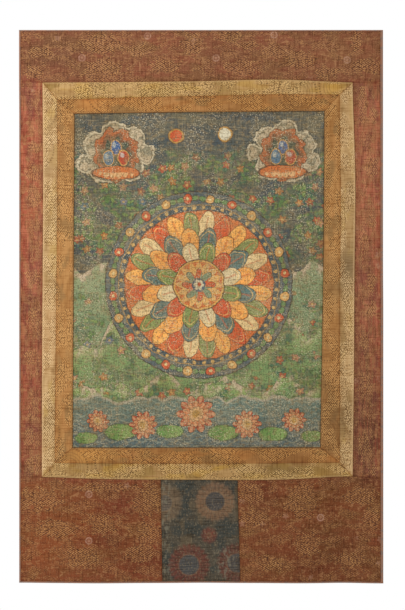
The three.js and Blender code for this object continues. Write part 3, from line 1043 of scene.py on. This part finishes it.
# Rows of hills, back to front: height of the crest, its swell and length, and colours at the crest and foot.
Hill = namedtuple("Hill", "crest swell length top foot")
HILLS = (
    Hill(28, 80, 84, (150, 160, 120), (128, 146, 106)),
    Hill(-92, 80, 64, (156, 166, 108), (122, 148, 94)),
    Hill(-196, 64, 72, (140, 160, 94), (104, 138, 88)),
    Hill(-286, 40, 54, (112, 144, 80), (92, 116, 98)),
)


SKY = (
    Lumps(LAY, (100, 98, 82), 70, 42, 1, 3, 0.44, 0.64, 1),
    Lumps(LAY, (62, 76, 84), 46, 18, 2, 3, 0.5, 0.66, 0.8),
)


def sky_and_hills(s):
    s.color = (76, 84, 82)
    s.mottle(SKY)
    for row, hill in enumerate(HILLS):
        outline = (s.noise(hill.length, 4000, seed=10 + row, detail=1.5) - 0.5) * (hill.swell * 2)
        depth = outline + hill.crest - s.y
        ground = depth.step(-0.8, 0.8)
        s.lay(s.blend(hill.top, hill.foot, depth.step(4, 58)), ground)
        rough = s.noise(14, 18, seed=20 + row, detail=3)
        s.lay((204, 180, 152), depth.step(30, 4) * rough.step(0.42, 0.54) * ground * 0.9)
        s.lay((60, 78, 66), (rough - 0.5).line(0, 0.03, 0.03) * ground * 0.45)
        s.lay((62, 72, 62), depth.line(0, 1.8, 1.2) * 0.7)


# Heights between which leaves are thick, and below which they are thin, each as a soft step.
THICK_LEAVES_BOTTOM = (22, 60)
THICK_LEAVES_TOP = (270, 225)
THIN_LEAVES_TOP = (0, -50)
LeafSpray = namedtuple("LeafSpray", "size seed color other")
LEAF_SPRAYS = (
    LeafSpray(24, 43, (98, 132, 72), (74, 114, 88)),
    LeafSpray(16, 44, (130, 152, 82), (98, 128, 74)),
)
LEAF_LENGTH = 0.46
LEAF_WIDTH = 0.2


def leaves_and_flowers(s):
    """Leafy sprays with flowers, thick above the rings and thin over the hills."""
    band = s.y.step(*THICK_LEAVES_BOTTOM) * s.y.step(*THICK_LEAVES_TOP)
    bush = band * s.noise(60, 50, seed=40, detail=2).step(0.42, 0.5)
    low = s.y.step(*THIN_LEAVES_TOP) * s.noise(44, 34, seed=41, detail=3).step(0.46, 0.56)
    region = bush.most(low)
    s.lay((84, 104, 82), region * 0.6)
    for spray in LEAF_SPRAYS:
        x, y, turn, kind, _ = s.cells(spray.size, spray.seed)
        along = (turn * math.tau).cosine()
        aside = (turn * math.tau).sine()
        leaf_x = (x * along + y * aside) / (spray.size * LEAF_LENGTH)
        leaf_y = (y * along - x * aside) / (spray.size * LEAF_WIDTH)
        leaf = s.length(leaf_x, leaf_y)
        s.lay((56, 70, 52), leaf.under(1.2, 0.7) * region * 0.4)
        both = s.blend(spray.color, spray.other, kind.step(0.4, 0.6))
        s.lay(both, leaf.under(0.9, 0.7) * region * 0.75)
    x, y, turn, kind, hue = s.cells(34, 45, 0.9)
    reach = s.length(x, y)
    petals = reach - ((s.angle(x, y) * 5 + turn * 9).cosine() * 1.6 + 7)
    color = s.blend((182, 86, 56), (190, 132, 98), hue.step(0.4, 0.45))
    color = s.blend(color, (190, 120, 60), hue.step(0.65, 0.7))
    color = s.blend(color, (96, 116, 132), hue.step(0.92, 0.95))
    seen = kind.step(0.2, 0.24) * region.most(band * 0.7)
    sprig = reach - ((s.angle(x, y) * 6 + turn * 17).cosine() * 6 + 11)
    both = s.blend((112, 142, 84), (76, 116, 94), turn.step(0.4, 0.6))
    s.lay(both, sprig.under(0, 4) * seen * 0.7)
    s.lay((72, 56, 46), petals.under(1.6, 2) * seen * 0.5)
    s.lay(color, petals.under(0, 2) * seen * 0.8)
    s.lay((206, 166, 96), reach.under(2.4, 1.6) * seen * 0.8)


def blossom(s, x, y, radius, colors, petals):
    """A many-petalled bloom of rings of petals, each ring smaller and turned by half a petal."""
    reach, turn = s.around(x, y)
    for ring, color in enumerate(colors):
        size = radius * (1 - 0.3 * ring)
        lobes = abs((turn * (petals / 2) + ring * math.pi / 2).cosine())
        edge = reach - (lobes * 0.3 + 0.72) * size
        both = s.blend(color, (222, 178, 130), lobes.step(0.75, 1) * 0.5)
        s.nest(edge, ((1.1, (72, 46, 36)), (0, both)), 1)
    s.lay(GOLD, reach.under(radius * 0.2, 1))


# Lobes of the cloud banks in the upper corners, as x, y and radius.
CLOUD_BANKS = (
    (
        (-226, 232, 20), (-204, 268, 28), (-170, 290, 28), (-132, 280, 26), (-106, 252, 20), (-186, 226, 34),
        (-142, 228, 32),
    ),
    (
        (112, 256, 18), (136, 282, 25), (172, 292, 29), (206, 270, 28), (226, 238, 18), (146, 230, 32),
        (190, 228, 32),
    ),
)
# The sun and the moon, as x, y and colour.
SKY_LIGHTS = ((-46, 288, (206, 88, 50)), (52, 292, (214, 204, 174)))


def clouds(s):
    """Two cloud banks with rolled edges, and the sun and the moon between them."""
    curl = s.noise(15, seed=50, detail=2)
    for bank in CLOUD_BANKS:
        edge = None
        for x, y, radius in bank:
            lobe = s.away(x, y) - radius
            edge = lobe if edge is None else edge.least(lobe)
        edge = edge + (curl - 0.5) * 14
        s.lay((60, 66, 62), edge.under(1.6, 1.6))
        s.lay(s.blend((190, 170, 138), (134, 126, 102), curl.step(0.42, 0.58)), edge.under(0, 2))
        s.lay((104, 98, 80), edge.line(-6, 1.6, 1.2) * 0.7)
        s.lay((208, 194, 162), edge.line(-2.4, 3, 1.6) * 0.8)
    for x, y, color in SKY_LIGHTS:
        s.nest(s.away(x, y), ((16.4, (92, 62, 44)), (15, GOLD), (12, color)))


# The mandala's middle and its rings, from the outside in.
MANDALA_MIDDLE = (0, -10)
RING_OUT = 186
RING_IN = 160
BEADS_IN = 150
HEART = 50
FLORETS = 24
BEADS = 52
BEAD_PITCH = 18
BEAD_SIZE = 3.4

# Rings of lotus petals from the outside in: how far the tips reach, how far the gaps draw in, how many petals
# there are, and their colours in turn.
PetalRing = namedtuple("PetalRing", "tip dip count colors")
PETAL_RINGS = (
    PetalRing(147, 24, 24, ((214, 92, 52), (238, 206, 148), (138, 148, 88), (250, 178, 92))),
    PetalRing(115, 22, 16, ((248, 170, 86), (94, 120, 114))),
    PetalRing(86, 22, 12, ((228, 206, 158), (206, 84, 50), (130, 148, 84))),
)


def mandala(s):
    """A ring of florets and leaves, and a ring of beads."""
    reach, turn = s.around(*MANDALA_MIDDLE)
    share = turn / math.tau
    s.nest(reach, ((RING_OUT + 2, (62, 56, 48)), (RING_OUT, (88, 100, 102))))
    s.lay((112, 116, 106), s.noise(16, 12, seed=60).step(0.46, 0.6) * reach.under(RING_OUT) * 0.7)
    middle = (RING_OUT + RING_IN) / 2
    aside = ((share * FLORETS).fraction() - 0.5) * (math.tau * middle / FLORETS)
    off = reach - middle
    leaf = s.length((abs(aside) - 15) / 7, off / 4.5)
    s.nest(leaf, ((1.25, (62, 72, 56)), (1, (112, 140, 90))), 0.3)
    kind = (share * (FLORETS / 2)).fraction().step(0.49, 0.51)
    either = s.blend((206, 92, 56), (218, 166, 98), kind)
    s.nest(s.length(aside, off), ((10, (66, 48, 40)), (8.6, either), (3.2, (226, 198, 140))))
    s.lay((70, 86, 92), reach.under(RING_IN))
    bead = s.length(((share * BEADS).fraction() - 0.5) * BEAD_PITCH, reach - (RING_IN + BEADS_IN) / 2)
    s.lay((210, 168, 100), bead.under(BEAD_SIZE))
    s.lay(GOLD, reach.line(RING_IN, 2) * 0.7)


def petal_rings(s):
    """Rings of lotus petals, each over the one outside it."""
    reach, turn = s.around(*MANDALA_MIDDLE)
    share = turn / math.tau
    s.nest(reach, ((BEADS_IN, (112, 66, 44)), (BEADS_IN - 1.6, (214, 118, 64))))
    for ring in PETAL_RINGS:
        place = share * ring.count
        petal = place.fraction() - 0.5
        edge = reach - ring.tip + petal * petal * (4 * ring.dip)
        hue = (place / len(ring.colors)).fraction()
        color = ring.colors[0]
        for number, other in enumerate(ring.colors[1:], 1):
            start = number / len(ring.colors)
            color = s.blend(color, other, hue.step(start - 0.01, start + 0.01))
        s.nest(edge, ((1.6, (92, 54, 40)), (0, color)))
        s.lay((250, 200, 120), edge.line(-6, 2.2) * 0.6)
        s.lay((204, 96, 52), petal.line(0, 0.1, 0.05) * edge.under(-10, 3) * 0.5)
        s.lay((92, 54, 40), abs(petal).step(0.45, 0.49) * edge.under(0) * 0.8)


def lotus(s):
    """The lotus in the middle of the petal rings."""
    reach, turn = s.around(*MANDALA_MIDDLE)
    share = turn / math.tau
    s.nest(reach, ((HEART + 2, (88, 54, 40)), (HEART, (222, 172, 92)), (HEART - 3, (204, 112, 56))))
    outer = abs((turn * 8).cosine())
    s.lay((222, 170, 100), (reach - (outer * 12 + 34)).under(0))
    lobes = abs((turn * 4).cosine())
    edge = reach - (lobes * 16 + 17)
    side = (share * 4 + 0.125).fraction().step(0.45, 0.55)
    s.nest(edge, ((1.4, (92, 54, 40)), (0, s.blend((204, 92, 54), (124, 140, 108), side))))
    s.lay((70, 92, 108), reach.under(14))
    s.lay((222, 206, 168), (reach - (abs((turn * 3).cosine()) * 4 + 7)).under(0))
    s.lay((192, 80, 48), reach.under(4))


# The jewels in each group: place in the group and colour.
JEWELS = ((0, 14, (60, 92, 136)), (-15, -6, (84, 116, 136)), (15, -6, (176, 72, 48)))
JEWEL_GROUPS = ((-166, 250), (168, 252))
FLAME_REACH = 49
JEWEL_WIDTH = 10
JEWEL_HEIGHT = 14
SEAT_DROP = 36
SEAT_WIDTH = 46
SEAT_HEIGHT = 13


def jewels(s):
    """Two groups of jewels in flames on lotus seats, in the clouds."""
    for x, y in JEWEL_GROUPS:
        local_x, local_y = s.x - x, s.y - y
        reach, turn = s.length(local_x, local_y * 0.86), s.angle(local_x, local_y)
        lick = (turn * 9 + reach / 7).sine() * 3.5 + s.noise(10, seed=70) * 10
        edge = reach + lick - FLAME_REACH
        s.nest(edge, ((1.5, (66, 52, 42)), (0, (176, 98, 58))))
        s.lay((130, 86, 60), (edge + 8).under(0, 3))
        s.lay((72, 82, 68), (edge + 16).under(0, 4))
        for jewel_x, jewel_y, color in JEWELS:
            from_x, from_y = local_x - jewel_x, local_y - jewel_y
            jewel = s.length(from_x / JEWEL_WIDTH, from_y / JEWEL_HEIGHT)
            s.nest(jewel, ((1.25, (72, 54, 44)), (1.15, (206, 156, 86)), (1, color)), 0.2)
            glint = s.length((from_x + 3) / 4, (from_y - 5) / 5)
            s.lay((196, 200, 188), glint.under(1, 0.6) * 0.6)
        seat_y = local_y + SEAT_DROP
        seat = s.length(local_x / SEAT_WIDTH, seat_y / SEAT_HEIGHT)
        s.nest(seat, ((1.1, (84, 52, 40)), (1, (200, 112, 60))), 0.1)
        leaf = abs((local_x * 0.24).sine()) * 0.4 + 0.45
        s.lay((222, 172, 118), (seat - leaf).under(0, 0.15) * seat_y.step(2, -2))


# The lake at the foot, and its lotuses and lily pads, as x, y and size.
LAKE_SHORE = -236
LAKE_LOTUSES = ((-202, -282, 22), (-112, -290, 28), (-6, -268, 37), (96, -288, 28), (190, -280, 23))
LILY_PADS = (
    (-158, -304, 30), (-58, -302, 26), (48, -306, 30), (148, -308, 28), (-226, -316, 22), (226, -312, 22),
)


def lake(s):
    """Water with rows of ripples, lily pads and lotus blooms."""
    shore = (s.noise(60, 4000, seed=55, detail=2) - 0.5) * 50 + LAKE_SHORE - s.y
    water = shore.step(-1.5, 1.5)
    s.lay(s.blend((104, 124, 112), (84, 100, 100), shore.step(0, 90)), water)
    ripples = ((s.y + (s.x * (math.tau / 30)).sine() * 3) * (math.tau / 13)).sine()
    s.lay((158, 162, 138), ripples.step(0.55, 1) * water * 0.5)
    s.lay((196, 176, 146), shore.line(2, 5, 4) * 0.6)
    for x, y, size in LILY_PADS:
        pad = s.length((s.x - x) / size, (s.y - y) / (size * 0.5))
        both = s.blend((100, 138, 72), (128, 156, 88), (s.x - x).step(-10, 12))
        s.nest(pad, ((1.1, (58, 74, 54)), (1, both)), 0.2)
    for x, y, size in LAKE_LOTUSES:
        blossom(s, x, y, size, ((180, 82, 56), (202, 122, 78), (216, 168, 114)), petals=10)


# Rubbed places, scratches across and down, worn and dark flecks, pale specks, canvas threads and grime.
PALE_PAINT = (184, 166, 128)
SCRATCHES_ACROSS = (Lumps(LAY, PALE_PAINT, 34, 2.6, 81, 3, 0.54, 0.68, 0.3),)
SCRATCHES_DOWN = (Lumps(LAY, PALE_PAINT, 2.6, 38, 82, 3, 0.56, 0.7, 0.26),)
PAINT_FLECKS = (
    Lumps(LAY, (152, 128, 88), 9, 7, 83, 4, 0.5, 0.66, 0.4),
    Lumps(LAY, (66, 60, 50), 3, 2.6, 84, 3, 0.5, 0.66, 0.55),
)
PAINT_SPECKS = (Lumps(LAY, (214, 200, 168), 2.7, 2.4, 85, 2, 0.58, 0.7, 0.65),)
PAINT_GRIME = (
    Lumps(DIM, (190, 180, 164), 2.2, 26, 88, 2, 0.53, 0.66, 0.4),
    Lumps(DIM, (190, 180, 164), 26, 2.2, 89, 2, 0.53, 0.66, 0.4),
    Lumps(DIM, (196, 178, 146), 150, 110, 87, 3, 0.42, 0.7, 0.25),
)


def wear(s):
    """Rubbing, scratches, flaked specks, canvas grain and grime, as on paint that was rolled many times."""
    rubbed = s.noise(60, 50, seed=80, detail=3)
    s.lay((138, 116, 80), rubbed.step(0.3, 0.7) * 0.18 + 0.06)
    s.mottle(SCRATCHES_ACROSS, rubbed.step(0.36, 0.6))
    s.mottle(SCRATCHES_DOWN, rubbed.step(0.4, 0.62))
    s.mottle(PAINT_FLECKS)
    s.mottle(PAINT_SPECKS, s.noise(44, seed=86).step(0.36, 0.6))
    s.mottle(PAINT_GRIME)
    # Painted shadow along the painting's edges beside the raised inner border, with soiling beside it.
    seam_shade_and_soil(s, (196, 182, 162), 2)


def painted_cotton(s):
    s.color = shade(128, 112, 86)
    for part in (sky_and_hills, leaves_and_flowers, lake, clouds, jewels, mandala, petal_rings, lotus, wear):
        s.paint(part, PICTURE_MIDDLE)
    height = weave_height(s, 1.3, 0.05) + s.noise(5, 4, seed=90, detail=3) * 0.12
    s.finish(0.88, height, specular=0.15)


# The pieces
OPPOSITE = {"top": "bottom", "bottom": "top", "left": "right", "right": "left"}


def add_mitred_frame(node, outer, inner, level_silk, upright_silk, back):
    """Four strips between two frames of seams, which meet on slanted lines at the corners."""
    far, near = frame_seams(outer), frame_seams(inner)
    for side in far:
        upright = side in SIDES
        mitre = height_on_line if upright else place_on_line
        seams = {side: far[side], OPPOSITE[side]: near[side]}
        for end in ENDS if upright else SIDES:
            corner = f"{end}_{side}" if upright else f"{side}_{end}"
            seams[end] = mitre(CORNERS[outer][corner], CORNERS[inner][corner])
        front = upright_silk if upright else level_silk
        rim = side if node == "outer_border" else OPPOSITE[side]
        add_sheet(f"{node}_{side}", node, seams, [front, back], upright, rim)


def add_mount_panels(brocade, door):
    left, right, top, bottom = (level(FIELD[side]) for side in ("left", "right", "top", "bottom"))
    heading, foot = panel_seam("top", "heading"), panel_seam("bottom", "foot")
    outer = frame_seams("outer")
    door_top = (0, -CROSS_SEAMS["outer_bottom"][2])
    door_bottom = (0, FIELD["bottom"])
    door_left, door_right = (down_seam(name, door_top, door_bottom) for name in ("door_left", "door_right"))
    panels = {
        "heading_panel": {"top": top, "bottom": heading, "left": left, "right": right},
        "side_panel_left": {"top": heading, "bottom": foot, "left": left, "right": outer["left"]},
        "side_panel_right": {"top": heading, "bottom": foot, "left": outer["right"], "right": right},
        "foot_panel_left": {"top": foot, "bottom": bottom, "left": left, "right": door_left},
        "foot_panel_right": {"top": foot, "bottom": bottom, "left": door_right, "right": right},
    }
    for node, seams in panels.items():
        add_sheet(node, "brocade", seams, brocade)
    door_seams = {"top": foot, "bottom": bottom, "left": door_left, "right": door_right}
    add_sheet("door_panel", "door", door_seams, door)


def add_pieces():
    cotton_back = new_material("cotton_back", reverse_cloth, COTTON_BACK)
    silk_back = new_material("silk_back", reverse_cloth, SILK_BACK)
    brocade_back = new_material("brocade_back", reverse_cloth, BROCADE_BACK)
    door_back = new_material("door_back", reverse_cloth, DOOR_BACK)
    paint = new_material("paint", painted_cotton)
    add_sheet("painting", "painting", frame_seams("picture"), [paint, cotton_back])
    orange_level = new_material("orange_silk_level", gold_silk, ORANGE_LEVEL, False)
    orange_upright = new_material("orange_silk_upright", gold_silk, ORANGE_UPRIGHT, True)
    pale_level = new_material("pale_silk_level", gold_silk, PALE_LEVEL, False)
    pale_upright = new_material("pale_silk_upright", gold_silk, PALE_UPRIGHT, True)
    add_mitred_frame("inner_border", "inner", "picture", orange_level, orange_upright, silk_back)
    add_mitred_frame("outer_border", "outer", "inner", pale_level, pale_upright, silk_back)
    brocade = new_material("brocade", red_brocade)
    door = new_material("figured_silk", door_silk)
    add_mount_panels([brocade, brocade_back], [door, door_back])
    cotton = new_material("cotton_strip", edge_binding)
    for side in BINDING_WIDTH:
        add_binding("edge_binding_" + side, side, cotton)


# The stage: a white room with soft light from the upper left, and a pale floor below the hem
CAMERA_DISTANCE = 4.0
PIXEL = 2 * MM
IMAGE_SIZE = (405, 610)
IMAGE_MIDDLE = (202.5, 305)
OBJECT_MIDDLE = (201, 306.5)
SENSOR = 36
FLOOR_DROP = 0.45
FLOOR_RADIUS = 2.4
FLOOR_SIDES = 96
FLOOR_COLOR = (236, 235, 232)
FLOOR_ROUGHNESS = 0.9
ROOM_LIGHT = 0.58
KEY_POWER = 38.5
KEY_PLACE = (-1.35, -1.6, 0.4)
KEY_SIZE = 0.7


def add_camera():
    data = bpy.data.cameras.new("camera")
    data.sensor_width = SENSOR
    data.lens = SENSOR * CAMERA_DISTANCE / (IMAGE_SIZE[1] * PIXEL)
    camera = bpy.data.objects.new("camera", data)
    right = (IMAGE_MIDDLE[0] - OBJECT_MIDDLE[0]) * PIXEL
    up = -HEIGHT * MM / 2 - (IMAGE_MIDDLE[1] - OBJECT_MIDDLE[1]) * PIXEL
    camera.location = (right, -CAMERA_DISTANCE, up)
    camera.rotation_euler = (math.pi / 2, 0, 0)
    SCENE.collection.objects.link(camera)
    SCENE.camera = camera


def add_floor():
    turns = [math.tau * side / FLOOR_SIDES for side in range(FLOOR_SIDES)]
    height = -HEIGHT * MM - FLOOR_DROP
    mesh = bpy.data.meshes.new("floor")
    ring = [(FLOOR_RADIUS * math.cos(turn), FLOOR_RADIUS * math.sin(turn), height) for turn in turns]
    mesh.from_pydata(ring, [], [list(range(FLOOR_SIDES))])
    material = bpy.data.materials.new("floor")
    material.use_nodes = True
    shader = material.node_tree.nodes["Principled BSDF"]
    shader.inputs["Base Color"].default_value = shade(*FLOOR_COLOR)
    shader.inputs["Roughness"].default_value = FLOOR_ROUGHNESS
    mesh.materials.append(material)
    floor = bpy.data.objects.new("floor", mesh)
    SCENE.collection.objects.link(floor)


def add_light():
    """A white room that the camera sees at full white, and one soft lamp."""
    world = bpy.data.worlds.new("room")
    world.use_nodes = True
    nodes, links = world.node_tree.nodes, world.node_tree.links
    background = nodes["Background"]
    background.inputs["Color"].default_value = (1, 1, 1, 1)
    path = nodes.new("ShaderNodeLightPath")
    strength = nodes.new("ShaderNodeMapRange")
    strength.inputs["To Min"].default_value = ROOM_LIGHT
    strength.inputs["To Max"].default_value = 1
    links.new(path.outputs["Is Camera Ray"], strength.inputs["Value"])
    links.new(strength.outputs["Result"], background.inputs["Strength"])
    SCENE.world = world
    data = bpy.data.lights.new("key", "AREA")
    data.energy = KEY_POWER
    data.size = KEY_SIZE
    key = bpy.data.objects.new("key", data)
    key.location = KEY_PLACE
    target = bpy.data.objects.new("key_target", None)
    target.location = (0, 0, -HEIGHT * MM / 2)
    aim = key.constraints.new("TRACK_TO")
    aim.target = target
    for made in (key, target):
        SCENE.collection.objects.link(made)
    SCENE.view_settings.view_transform = "Standard"


add_camera()
add_floor()
add_light()
add_pieces()
